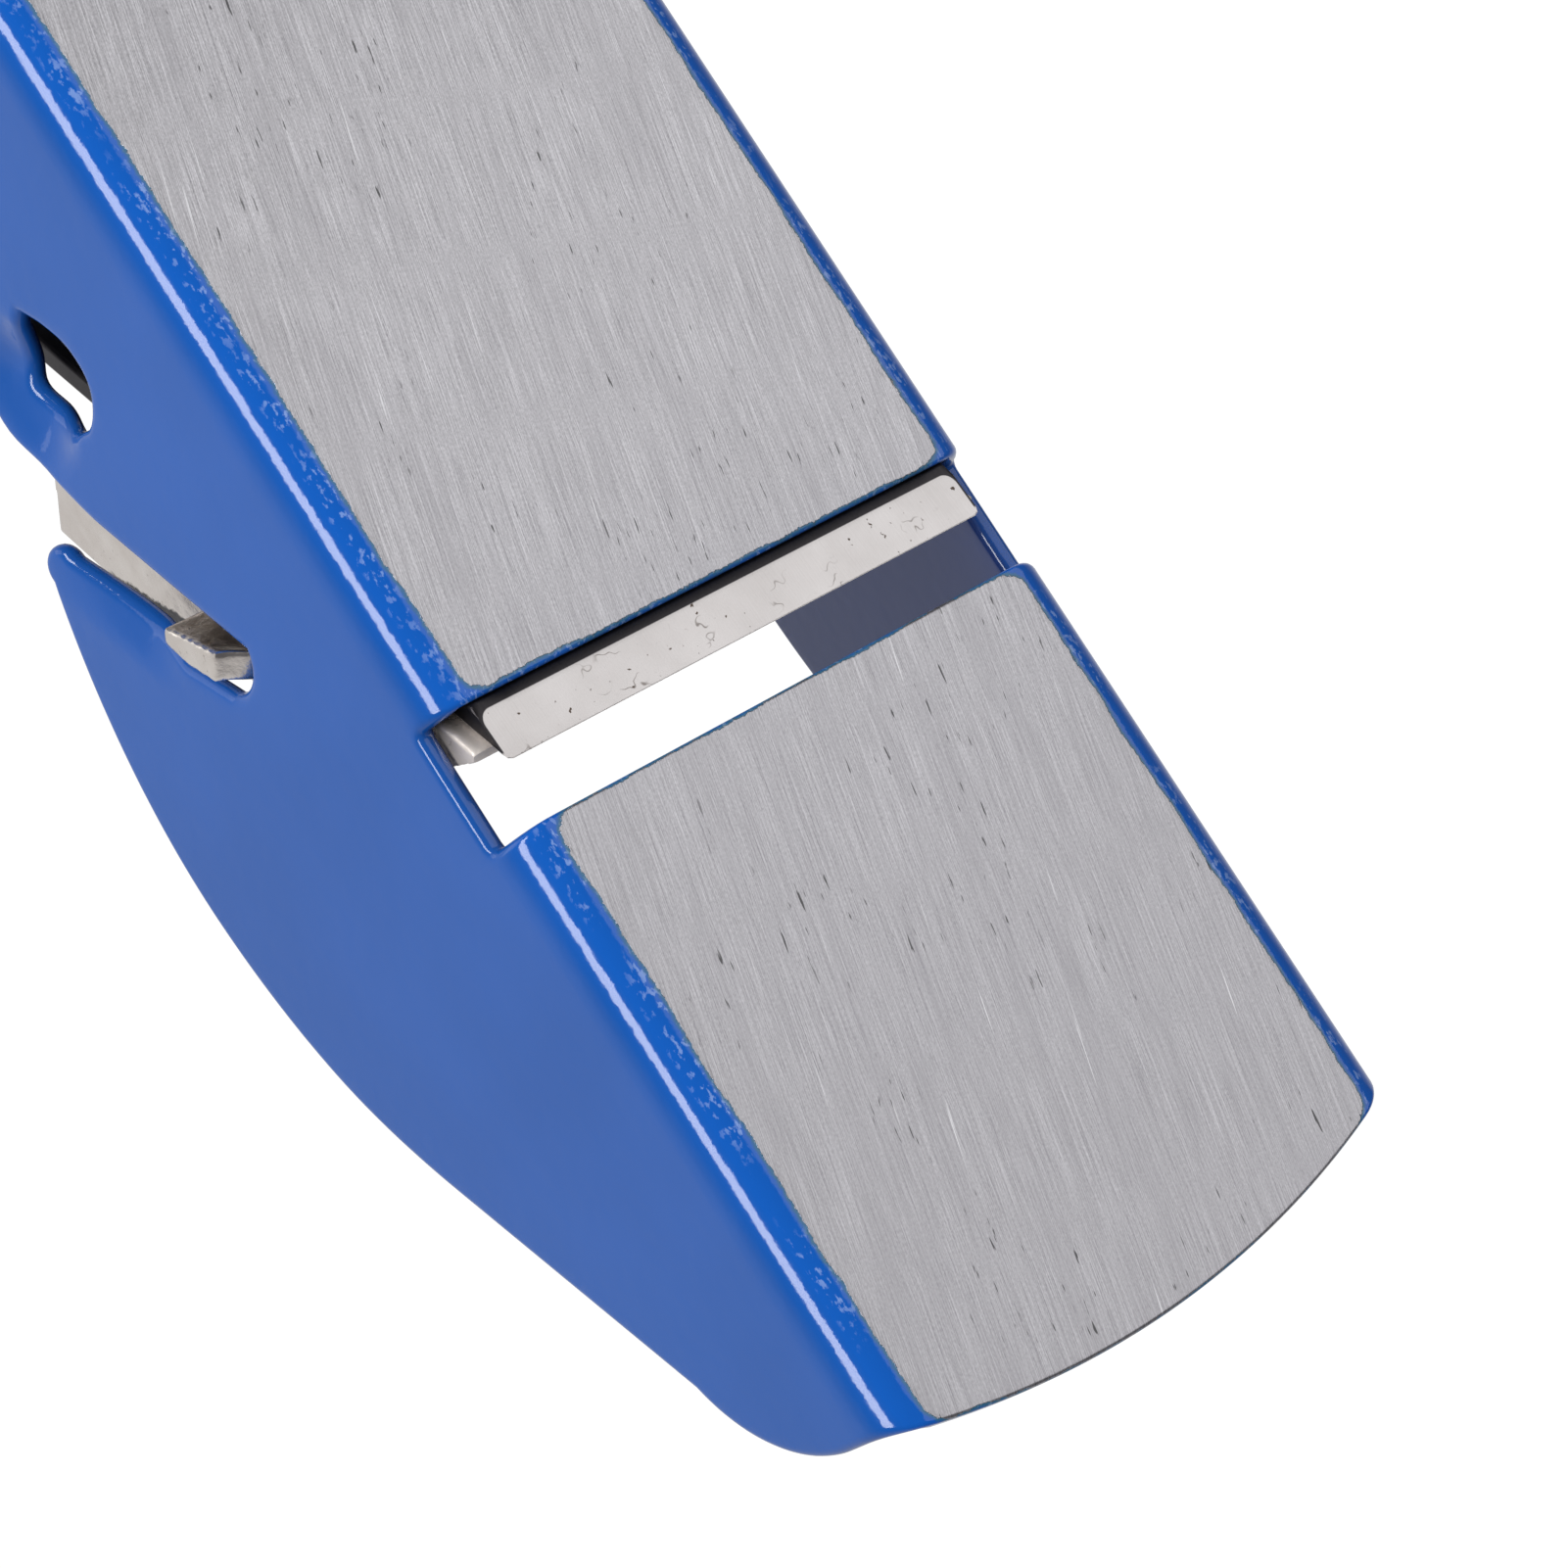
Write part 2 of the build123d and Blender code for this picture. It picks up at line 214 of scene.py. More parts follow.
def cover_flat(rings, columns, rows, creases):
    """Flat points and triangles filling the first ring less the others.

    Also gives, for each ring point in turn, the number of the flat point it became.
    """
    grid = np.array([(a, b) for a in columns for b in rows])
    keep = inside(rings[0], grid) & ~near(rings[0], grid, GRID_CLEARANCE)
    for ring in rings[1:]:
        keep &= ~inside(ring, grid) & ~near(ring, grid, GRID_CLEARANCE)
    flat = [tuple(p) for p in np.concatenate([*rings, grid[keep]])]
    edges, start = [], 0
    for ring in rings:
        n = len(ring)
        edges += [(start + k, start + (k + 1) % n) for k in range(n)]
        start += n
    for a, b in creases:
        flat += [a, b]
        edges.append((len(flat) - 2, len(flat) - 1))
    made = delaunay_2d_cdt([Vector(p) for p in flat], edges, [], 0, 1e-5)
    cover = [tuple(p) for p in made[0]]
    middles = np.array([np.mean([cover[k] for k in f], axis=0) for f in made[2]])
    solid = inside(rings[0], middles)
    for ring in rings[1:]:
        solid &= ~inside(ring, middles)
    triangles = [tuple(f) for f, kept in zip(made[2], solid) if kept]
    became = {}
    for new, old in enumerate(made[3]):
        for k in old:
            became[k] = new
    return cover, triangles, became


def sheet_piece(outline, holes, columns, rows, thickness, rounding, place, creases=()):
    """Points and faces of a sheet with rounded edges, cut to an outline with holes.

    The outline runs anticlockwise and the holes clockwise. rounding(a, b) is the edge's radius.
    place(a, b, depth) bends the flat point (a, b), at a depth below the outer face, into space.
    """
    rings = [outline] + holes
    radii = [np.array([[rounding(a, b)] for a, b in ring]) for ring in rings]
    inner = [inset_ring(ring, radius) for ring, radius in zip(rings, radii)]
    cover, triangles, became = cover_flat(inner, columns, rows, creases)
    count = len(cover)
    points = [place(a, b, 0.0) for a, b in cover] + [place(a, b, thickness) for a, b in cover]
    faces = triangles + [tuple(count + k for k in reversed(f)) for f in triangles]
    turns = [math.pi / 2 * k / ROUND_STEPS for k in range(1, ROUND_STEPS + 1)]
    start = 0
    for ring, radius in zip(rings, radii):
        n = len(ring)
        first = [became[start + k] for k in range(n)]
        start += n
        levels = [(radius * (1 - math.sin(t)), radius * (1 - math.cos(t))) for t in turns]
        levels += [(i, thickness - d) for i, d in reversed(levels)]
        previous = first
        for inset, depths in levels:
            moved = inset_ring(ring, inset)
            current = list(range(len(points), len(points) + n))
            points += [place(a, b, depth) for (a, b), depth in zip(moved, depths[:, 0])]
            faces += bridge(previous, current)
            previous = current
        faces += bridge(previous, [count + k for k in first])
    return points, faces


def bridge(one, two):
    """Quads between two closed rings of the same count."""
    n = len(one)
    return [(one[k], two[k], two[(k + 1) % n], one[(k + 1) % n]) for k in range(n)]


def curve_through(points, tangents, step=0.8):
    """Samples of a smooth curve through points, with the end directions given."""
    points = [np.array(p, float) for p in points]
    n = len(points)
    slopes = [None] * n
    slopes[0] = np.array(tangents[0], float)
    slopes[-1] = np.array(tangents[1], float)
    for k in range(1, n - 1):
        chord = points[k + 1] - points[k - 1]
        slopes[k] = chord / np.linalg.norm(chord)
    out = []
    for k in range(n - 1):
        p, q = points[k], points[k + 1]
        length = np.linalg.norm(q - p)
        count = max(2, round(length / step))
        for i in range(count):
            t = i / count
            h = (2 * t ** 3 - 3 * t ** 2 + 1, t ** 3 - 2 * t ** 2 + t,
                 3 * t ** 2 - 2 * t ** 3, t ** 3 - t ** 2)
            out.append(tuple(p * h[0] + slopes[k] * length * h[1] + q * h[2] + slopes[k + 1] * length * h[3]))
    return out


def arc_through(a, b, c, step=0.5):
    """Samples from a to just before c of the circle through a, b and c."""
    a, b, c = (np.array(p, float) for p in (a, b, c))
    m = np.array([b - a, c - a]) * 2
    centre = np.linalg.solve(m, [b @ b - a @ a, c @ c - a @ a])
    angles = [math.atan2(*(p - centre)[::-1]) for p in (a, b, c)]
    turn = (angles[2] - angles[0]) % (2 * math.pi)
    if (angles[1] - angles[0]) % (2 * math.pi) > turn:
        turn -= 2 * math.pi
    radius = np.linalg.norm(a - centre)
    count = max(3, round(abs(turn) * radius / step))
    return [tuple(centre + radius * np.array((math.cos(angles[0] + turn * k / count),
                                              math.sin(angles[0] + turn * k / count)))) for k in range(count)]


# ---- body ------------------------------------------------------------------------------
def smooth(t):
    """Eases from 0 to 1 as t does."""
    t = min(1.0, max(0.0, t))
    return t * t * (3 - 2 * t)


def across(s):
    """(y, z, outward y, outward z) of the outer face at distance s along the section."""
    side = 1 if s >= 0 else -1
    s = abs(s)
    if s <= BEND_Y:
        return side * s, 0.0, 0.0, -1.0
    turn = min((s - BEND_Y) / BEND_RADIUS, BEND_ANGLE)
    y = BEND_Y + BEND_RADIUS * math.sin(turn)
    z = BEND_RADIUS * (1 - math.cos(turn))
    past = max(0.0, s - BEND_END)
    y += past * math.sin(FLARE)
    z += past * math.cos(FLARE)
    return side * y, z, side * math.sin(turn), -math.cos(turn)


def along_cheek(z):
    """Distance along the section of a height on the cheek."""
    return BEND_END + (z - CHEEK_Z) / math.cos(FLARE)


def beside(point, start, end):
    """How far a point is along and to the left of the line from start to end, and its distance."""
    dx, dz = end[0] - start[0], end[1] - start[1]
    length = math.hypot(dx, dz)
    px, pz = point[0] - start[0], point[1] - start[1]
    along = (px * dx + pz * dz) / length
    off = (pz * dx - px * dz) / length
    past = max(0.0, -along, along - length)
    return along, off, math.hypot(past, off)


def pressed(x, z):
    """How far the cheek is pushed inward at (x, z), beside the slot and the pocket."""
    length = math.dist(SLOT_TIP, SLOT_LUG)
    along, off, _ = beside((x, z), SLOT_TIP, SLOT_LUG)
    depth = 0.0
    if off > -1.0:
        ends = smooth((along + 4.0) / 12.0) * smooth((length + 4.5 - along) / 5.5)
        depth = 1.1 * ends * (1 - smooth((off + 0.3) / 3.6))
    _, above, _ = beside((x, z), POCKET_LEFT, POCKET_RIGHT)
    _, _, distance = beside((x, z), *POCKET_DEEP)
    return depth + 1.5 * (1 - smooth(distance / 5.0)) * smooth((above + 0.3) / 2.2)


def bend_sheet(x, s, depth):
    """Place of a flat point of the body, at a depth below the outer face."""
    y, z, ny, nz = across(s)
    if z > 6.0:
        depth += pressed(x, z)
    return (x, y - ny * depth, z - nz * depth)


def bow(y):
    """How far the toe and heel draw back at y."""
    return END_ARC_RADIUS - math.sqrt(END_ARC_RADIUS ** 2 - y * y)


def end_arc(s):
    """How far the toe and heel draw back at distance s along the section."""
    return bow(across(s)[0])


def body_outline():
    """Flat outline, anticlockwise in (x, s), seen with the outer face towards the viewer."""
    nose_low = (TOE_REACH - end_arc(along_cheek(5.0)), 5.0)
    heel_low_x = end_arc(along_cheek(3.7)) - HEEL_REACH
    cheek = arc_through(nose_low, (48.8, 11.3), (43.0, 15.7))
    cheek += line_to((43.0, 15.7), (24.1, 27.5))
    cheek += curve_through([(24.1, 27.5), (12.7, 33.0), (-1.0, 35.5), (-13.4, 34.5), (-26.0, 30.2)],
                           [(-0.848, 0.53), (-0.9, -0.43)])
    cheek += arc_through((-26.0, 30.2), (-27.8, 28.4), SLOT_TIP, 0.3)
    cheek += line_to(SLOT_TIP, SLOT_LUG, 0.5) + line_to(SLOT_LUG, (-14.6, 21.3), 0.5)
    cheek += line_to((-14.6, 21.3), (-10.9, 18.5), 0.5)
    cheek += arc_through((-10.9, 18.5), (-10.6, 15.9), (-12.2, 14.3), 0.3)
    cheek += line_to((-12.2, 14.3), (-25.5, 21.3), 0.6)
    cheek += curve_through([(-25.5, 21.3), (-30.4, 23.2), (-36.0, 25.0)], [(-0.885, 0.466), (-1, 0)])
    cheek += line_to((-36.0, 25.0), (-52.0, 25.0))
    cheek += curve_through([(-52.0, 25.0), (-68.0, 20.2), (-82.0, 12.6), (-95.0, 9.6)],
                           [(-1, 0), (-1, -0.12)])
    cheek += arc_through((-95.0, 9.6), (-100.0, 7.9), (heel_low_x, 3.7))
    upper = [(x, along_cheek(z)) for x, z in cheek]
    edge_rows = list(np.linspace(0.0, BEND_Y, 22)) + list(np.linspace(BEND_Y, BEND_END, 13))[1:]
    toe = [(TOE_REACH - end_arc(s), s) for s in edge_rows]
    heel = [(end_arc(s) - HEEL_REACH, s) for s in reversed(edge_rows)]
    half = toe + upper + heel
    other = [(x, -s) for x, s in reversed(half[1:-1])]
    return half + other


def mouth_hole():
    """Saw cut across the sole and into both bends, clockwise."""
    corner = 0.5
    points = []
    for at_toe, side, first in ((0, -1, 270), (0, 1, 180), (1, 1, 90), (1, -1, 0)):
        cx = MOUTH_LENGTH - corner if at_toe else corner
        cy = side * (MOUTH_HALF - corner)
        points += [(cx + corner * math.cos(math.radians(first - 22.5 * k)),
                    cy + corner * math.sin(math.radians(first - 22.5 * k))) for k in range(5)]
    return spaced(points, 0.7)


def pocket_hole(side):
    """Lanced opening: a crisp lower lip and an upper lip that is pushed in."""
    lower = curve_through([POCKET_LEFT, (-37.2, 14.3), (-34.6, 13.3), (-32.0, 13.8), POCKET_RIGHT],
                          [(0.8, -0.6), (-0.1, 1.0)], 0.35)
    upper = curve_through([POCKET_RIGHT, (-31.6, 19.0), (-34.2, 20.3), (-36.8, 20.8), POCKET_LEFT],
                          [(-0.3, 1.0), (-0.4, -0.9)], 0.35)
    ring = [(x, side * along_cheek(z)) for x, z in lower + upper]
    return ring[::-1] if side > 0 else ring


def body_piece(material):
    """Sole and cheeks as one bent sheet; each point also stores its depth in the metal."""
    columns = np.arange(-HEEL_REACH, TOE_REACH, 1.1)
    columns = np.concatenate([columns, np.arange(-40.1, -9, 0.55), np.arange(-2.3, 11.0, 0.5)])
    bend = np.linspace(BEND_Y, BEND_END, 15)
    half = np.concatenate([np.arange(0.0, BEND_Y - 0.8, 1.6), bend, np.arange(BEND_END + 0.6, 60, 1.0)])
    half = np.concatenate([half, np.arange(along_cheek(13.0) + 0.3, along_cheek(30.0), 1.0)])
    rows = np.unique(np.round(np.concatenate([-half, half]), 4))
    columns = np.unique(np.round(columns, 4))
    holes = [mouth_hole(), pocket_hole(1), pocket_hole(-1)]
    depths = []

    def place(x, s, depth):
        depths.append(depth)
        return file_seat(bend_sheet(x, s, depth))

    def rounding(_, s):
        return 0.3 + 0.45 * smooth((abs(s) - BEND_Y) / 4.0)

    points, faces = sheet_piece(body_outline(), holes, columns, rows, SHEET, rounding, place)
    piece = add_mesh("body_sheet", points, faces, "frame", ["plane_body"], material)
    layer = piece.data.attributes.new("depth", "FLOAT", "POINT")
    layer.data.foreach_set("value", np.array(depths, np.float32))
    return piece


def file_seat(point):
    """Slopes the mouth's rear edge so that it clears the underside of the blade."""
    x, y, z = point
    if not (-3.0 < x < 1.0 and SEAT_LAND < z < 1.9 and abs(y) < BLADE_HALF + 0.8):
        return point
    offset = (Vector((x, 0, z)) - EDGE_POINT).dot(OFF_BLADE)
    excess = offset + BLADE_THICKNESS + SEAT_CLEARANCE
    if excess <= 0:
        return point
    return (x, y, max(SEAT_LAND, z - excess / math.cos(PITCH)))


# ---- blade -----------------------------------------------------------------------------
def blade_place(u, v, depth):
    """Bevel down: the underside starts further up the blade than the edge."""
    depth = min(depth, max(0.0, u) * math.tan(BEVEL) + 0.02)
    return on_blade(u, v, -depth)


def blade_piece(material):
    """The blade: nicked corners at the edge, rounded ones at the top and a row of notches."""
    corner = 5.0
    top = BLADE_LENGTH
    nick = 0.5
    ring = [(0.0, nick - BLADE_HALF), (nick * 0.3, 0.3 * nick - BLADE_HALF), (nick, -BLADE_HALF)]
    ring += [(top - corner, -BLADE_HALF)]
    ring += [(top - corner + corner * math.sin(t), -BLADE_HALF + corner * (1 - math.cos(t)))
             for t in np.linspace(0, math.pi / 2, 8)[1:]]
    ring += [(top - corner + corner * math.cos(t), BLADE_HALF - corner * (1 - math.sin(t)))
             for t in np.linspace(0, math.pi / 2, 8)]
    ring += [(nick, BLADE_HALF), (nick * 0.3, BLADE_HALF - 0.3 * nick), (0.0, BLADE_HALF - nick)]
    outline = spaced(ring, 0.8)
    holes = []
    for u in NOTCHES:
        near_u, far_u = u - NOTCH_LENGTH / 2, u + NOTCH_LENGTH / 2
        hole = [(near_u, -NOTCH_HALF), (near_u, NOTCH_HALF), (far_u, NOTCH_HALF), (far_u, -NOTCH_HALF)]
        holes.append(spaced(hole, 0.5))
    run = BLADE_THICKNESS / math.tan(BEVEL)
    columns = np.concatenate([np.linspace(0.6, run, 5), np.arange(run + 1.5, top, 2.0)])
    rows = np.arange(-20.0, 20.1, 2.0)
    creases = [((run, -BLADE_HALF + 0.6), (run, BLADE_HALF - 0.6))]
    points, faces = sheet_piece(outline, holes, columns, rows, BLADE_THICKNESS,
                                lambda u, v: 0.35, blade_place, creases)
    return add_mesh("cutting_iron", points, faces, "blade", ["blade"], material)


# ---- copies of CAD pieces with softened edges ------------------------------------------
def cad_copy(name, node):
    """A new piece with the CAD node's shape, its seams joined."""
    mesh = frame["nodes"][node].data.copy()
    mesh.name = name
    piece = bpy.data.objects.new(name, mesh)
    bpy.context.scene.collection.objects.link(piece)
    work = bmesh.new()
    work.from_mesh(mesh)
    bmesh.ops.remove_doubles(work, verts=work.verts, dist=1e-6)
    bmesh.ops.dissolve_limit(work, angle_limit=math.radians(0.5), verts=work.verts, edges=work.edges)
    work.to_mesh(mesh)
    work.free()
    return piece


def apply_modifiers(piece):
    """Makes what a piece's modifiers do part of its mesh."""
    shape = bpy.data.meshes.new_from_object(piece.evaluated_get(bpy.context.evaluated_depsgraph_get()))
    piece.modifiers.clear()
    piece.data = shape


def softened(name, node, body, material, width):
    """CAD shape with its sharp edges broken."""
    piece = cad_copy(name, node)
    bevel = piece.modifiers.new("broken edges", "BEVEL")
    bevel.width = width * MM
    bevel.segments = 3
    bevel.limit_method = "ANGLE"
    bevel.angle_limit = math.radians(35)
    apply_modifiers(piece)
    return dress(piece, body, [node], material)


def dressed_cap(u, y):
    """Where a point of the lever cap moves to along the blade: lug roots down, nose back."""
    out = abs(y)
    beyond_wall = smooth((out - 20.9) / 0.5) * (1 - smooth((out - 22.8) / 3.0))
    near_root = smooth((u - 16.0) / 6.5) * (1 - smooth((u - 23.4) / 3.0))
    nose = 1 - smooth((u - 1.0) / 4.0)
    return u - ROOT_REACH * beyond_wall * near_root + NOSE_BACK * nose


def cast_piece(name, node, body, material):
    """CAD shape with the soft corners of a casting, remeshed square to the blade and dressed."""
    piece = cad_copy(name, node)
    edge_point = to_frame(EDGE_POINT)
    slope = Matrix.Rotation(PITCH, 4, "Y")
    piece.data.transform(slope.inverted())
    remesh = piece.modifiers.new("even mesh", "REMESH")
    remesh.mode = "VOXEL"
    remesh.voxel_size = CAST_VOXEL * MM
    ease = piece.modifiers.new("eased corners", "SMOOTH")
    ease.factor = 0.5
    ease.iterations = CAST_EASING
    apply_modifiers(piece)
    piece.data.transform(slope)
    for vertex in piece.data.vertices:
        u = (vertex.co - edge_point).dot(UP_BLADE) / MM
        vertex.co += UP_BLADE * (dressed_cap(u, vertex.co.y / MM) - u) * MM
    return dress(piece, body, [node], material)


# ---- turned pieces ---------------------------------------------------------------------
def stacked(rows, sides):
    """Faces between rings stacked one above another, with both ends closed."""
    faces = []
    for j in range(rows - 1):
        faces += bridge([j * sides + k for k in range(sides)], [(j + 1) * sides + k for k in range(sides)])
    faces.append(tuple(reversed(range(sides))))
    faces.append(tuple((rows - 1) * sides + k for k in range(sides)))
    return faces


def plain_rings(rings, sides):
    """Points of plain circles, each given as (radius, height)."""
    turns = [2 * math.pi * k / sides for k in range(sides)]
    return [(r * math.cos(t), r * math.sin(t), height) for r, height in rings for t in turns]


def turned(profile, sides, ripple):
    """Points and faces of a rippled lathe shape: profile is a list of (radius, height)."""
    points = []
    for radius, height in profile:
        for k in range(sides):
            angle = 2 * math.pi * k / sides
            r = radius + ripple(angle, radius, height)
            points.append((r * math.cos(angle), r * math.sin(angle), height))
    return points, stacked(len(profile), sides)


def clamp_axis_point(p):
    """Lathe point to millimetres, on the clamp screw's axis; its height is w."""
    base = on_blade(CLAMP_U, 0, 0)
    return base + UP_BLADE * p[0] + Vector((0, p[1], 0)) + OFF_BLADE * p[2]


def spindle_axis_point(p):
    """Lathe point to millimetres, on the adjuster's axis; its height is u."""
    base = on_blade(0, 0, SPINDLE_W)
    return base + OFF_BLADE * p[0] + Vector((0, p[1], 0)) + UP_BLADE * p[2]


def knurl(teeth, depth, rim, low, high):
    """Ripple of a straight-knurled rim between two heights."""
    def ripple(angle, radius, height):
        if radius < rim - 0.6 or not low <= height <= high:
            return 0.0
        return -depth * (0.5 + 0.5 * math.cos(teeth * angle)) ** 2
    return ripple


def thread_rings(radius, low, high, lead, depth, sides):
    """Rings of a threaded length, to be used as one tube."""
    rows = int((high - low) / (lead / ROWS_PER_TURN)) + 1
    points = []
    for j in range(rows):
        height = low + (high - low) * j / (rows - 1)
        for k in range(sides):
            angle = 2 * math.pi * k / sides
            phase = (height / lead - k / sides) % 1.0
            r = radius - depth * (1 - abs(2 * phase - 1))
            points.append((r * math.cos(angle), r * math.sin(angle), height))
    return points, rows


def threaded(radius, low, high, lead, depth, before, after):
    """A screw: plain lathe rings below, a threaded length, plain lathe rings above."""
    middle, rows = thread_rings(radius, low, high, lead, depth, SCREW_SIDES)
    points = plain_rings(before, SCREW_SIDES) + middle + plain_rings(after, SCREW_SIDES)
    return points, stacked(len(before) + rows + len(after), SCREW_SIDES)


def clamp_wheel_piece(material):
    """Knurled thumbwheel that tightens the lever cap."""
    profile = [(2.9, 1.55), (10.2, 1.6), (10.9, 1.75), (11.4, 2.1)]
    profile += [(11.5, h) for h in np.linspace(2.3, 4.3, 6)]
    profile += [(11.4, 4.5), (10.9, 4.85), (10.2, 5.0), (7.2, 4.9)]
    profile += [(6.6, 4.6), (4.8, 4.6), (4.4, 4.9), (2.9, 5.0)]
    points, faces = turned(profile, 480, knurl(teeth=60, depth=0.45, rim=11.5, low=1.7, high=4.95))
    points = [clamp_axis_point(p) for p in points]
    return add_mesh("clamp_thumbwheel", points, faces, "clamp", ["clamp_wheel"], material)


def clamp_stud_piece(material):
    """Screw that the clamp wheel turns with."""
    below = [(1.9, 0.8), (2.0, 0.9), (2.0, 1.6), (3.0, 1.7), (3.0, 5.0)]
    points, faces = threaded(radius=3.0, low=5.1, high=8.2, lead=1.0, depth=0.5,
                             before=below, after=[(2.4, 8.4)])
    points = [clamp_axis_point(p) for p in points]
    return add_mesh("clamp_screw", points, faces, "clamp", ["clamp_stud"], material)


def adjust_wheel_piece(material):
    """Knurled brass wheel that sets the depth of cut."""
    profile = [(2.1, 86.3), (4.4, 86.3), (4.6, 86.5), (4.6, 87.7), (7.2, 87.8), (7.8, 88.0), (8.0, 88.4)]
    profile += [(8.0, h) for h in np.linspace(88.6, 93.8, 12)]
    profile += [(8.0, 94.0), (7.8, 94.4), (7.2, 94.6), (4.8, 94.6), (4.6, 95.4), (4.3, 95.6), (2.1, 95.6)]
    points, faces = turned(profile, 384, knurl(teeth=48, depth=0.4, rim=8.0, low=88.0, high=94.4))
    points = [spindle_axis_point(p) for p in points]
    return add_mesh("depth_thumbwheel", points, faces, "adjuster", ["adjust_wheel"], material)


def adjust_spindle_piece(material):
    """Threaded spindle that the brass wheel turns."""
    before = [(1.9, 64.0), (2.4, 64.4)]
    after = [(2.2, 82.1), (4.0, 82.2), (4.0, 83.8), (2.1, 83.9), (2.1, 96.7), (1.8, 97.0)]
    points, faces = threaded(radius=2.5, low=64.6, high=82.0, lead=0.8, depth=0.42,
                             before=before, after=after)
    points = [spindle_axis_point(p) for p in points]
    return add_mesh("depth_screw", points, faces, "adjuster", ["adjust_spindle"], material)


# ---- materials -------------------------------------------------------------------------
class Nodes:
    """Short names for building one node material."""

    def __init__(self, name):
        self.material = bpy.data.materials.new(name)
        self.material.use_nodes = True
        self.tree = self.material.node_tree
        self.shader = self.tree.nodes["Principled BSDF"]
        self.coords = self.add("ShaderNodeTexCoord").outputs["Object"]

    def add(self, kind, **settings):
        node = self.tree.nodes.new(kind)
        for key, value in settings.items():
            setattr(node, key, value)
        return node

    def link(self, source, target):
        self.tree.links.new(source, target)

    def measure(self, direction, through):
        """How far a place lies from a point along a direction, in millimetres."""
        node = self.add("ShaderNodeVectorMath", operation="DOT_PRODUCT")
        self.link(self.coords, node.inputs[0])
        node.inputs[1].default_value = Vector(direction) / MM
        return self.math("SUBTRACT", node.outputs["Value"], to_frame(through).dot(Vector(direction)) / MM)

    def stretched(self, scale, degrees=0.0):
        """Coordinates turned about the vertical and then scaled along each axis."""
        turned_way = self.add("ShaderNodeMapping")
        turned_way.inputs["Rotation"].default_value = (0, 0, math.radians(degrees))
        node = self.add("ShaderNodeMapping")
        node.inputs["Scale"].default_value = scale
        self.link(self.coords, turned_way.inputs["Vector"])
        self.link(turned_way.outputs["Vector"], node.inputs["Vector"])
        return node.outputs["Vector"]

    def rounded(self, one, two, radius):
        """Distance inside the corner between two edges, given the distance inside each."""
        squares = []
        for inward in (one, two):
            short = self.math("MAXIMUM", self.math("SUBTRACT", radius, inward), 0.0)
            squares.append(self.math("MULTIPLY", short, short))
        reach = self.math("SQRT", self.math("ADD", *squares))
        return self.math("SUBTRACT", radius, reach)

    def noise(self, vector, scale, detail, rough=0.55):
        node = self.add("ShaderNodeTexNoise")
        node.inputs["Scale"].default_value = scale
        node.inputs["Detail"].default_value = detail
        node.inputs["Roughness"].default_value = rough
        self.link(vector, node.inputs["Vector"])
        return node.outputs["Fac"]

    def ramp(self, source, stops):
        node = self.add("ShaderNodeValToRGB")
        ramp = node.color_ramp
        while len(ramp.elements) < len(stops):
            ramp.elements.new(0.5)
        for element, (place, colour) in zip(ramp.elements, stops):
            element.position = place
            element.color = (*colour, 1)
        self.link(source, node.inputs["Fac"])
        return node.outputs["Color"]

    def grey(self, source, low, high, to_low=0.0, to_high=1.0):
        node = self.add("ShaderNodeMapRange")
        node.inputs["From Min"].default_value = low
        node.inputs["From Max"].default_value = high
        node.inputs["To Min"].default_value = to_low
        node.inputs["To Max"].default_value = to_high
        self.link(source, node.inputs["Value"])
        return node.outputs["Result"]

    def math(self, operation, a, b=0.0):
        node = self.add("ShaderNodeMath", operation=operation)
        for socket, value in zip(node.inputs, (a, b)):
            if isinstance(value, (int, float)):
                socket.default_value = value
            else:
                self.link(value, socket)
        return node.outputs["Value"]

    def mix(self, factor, a, b):
        node = self.add("ShaderNodeMix", data_type="RGBA")
        for socket, value in ((node.inputs[0], factor), (node.inputs[6], a), (node.inputs[7], b)):
            if isinstance(value, (int, float)):
                socket.default_value = value
            elif isinstance(value, tuple):
                socket.default_value = (*value, 1)
            else:
                self.link(value, socket)
        return node.outputs[2]

    def bump(self, height, distance, strength, under=None):
        node = self.add("ShaderNodeBump")
        node.inputs["Distance"].default_value = distance
        node.inputs["Strength"].default_value = strength
        self.link(height, node.inputs["Height"])
        if under is not None:
            self.link(under, node.inputs["Normal"])
        return node.outputs["Normal"]

    def attribute(self, name):
        return self.add("ShaderNodeAttribute", attribute_name=name).outputs["Fac"]

    def set(self, **values):
        for key, value in values.items():
            socket = self.shader.inputs[key.replace("_", " ")]
            if isinstance(value, float):
                socket.default_value = value
            else:
                self.link(value, socket)


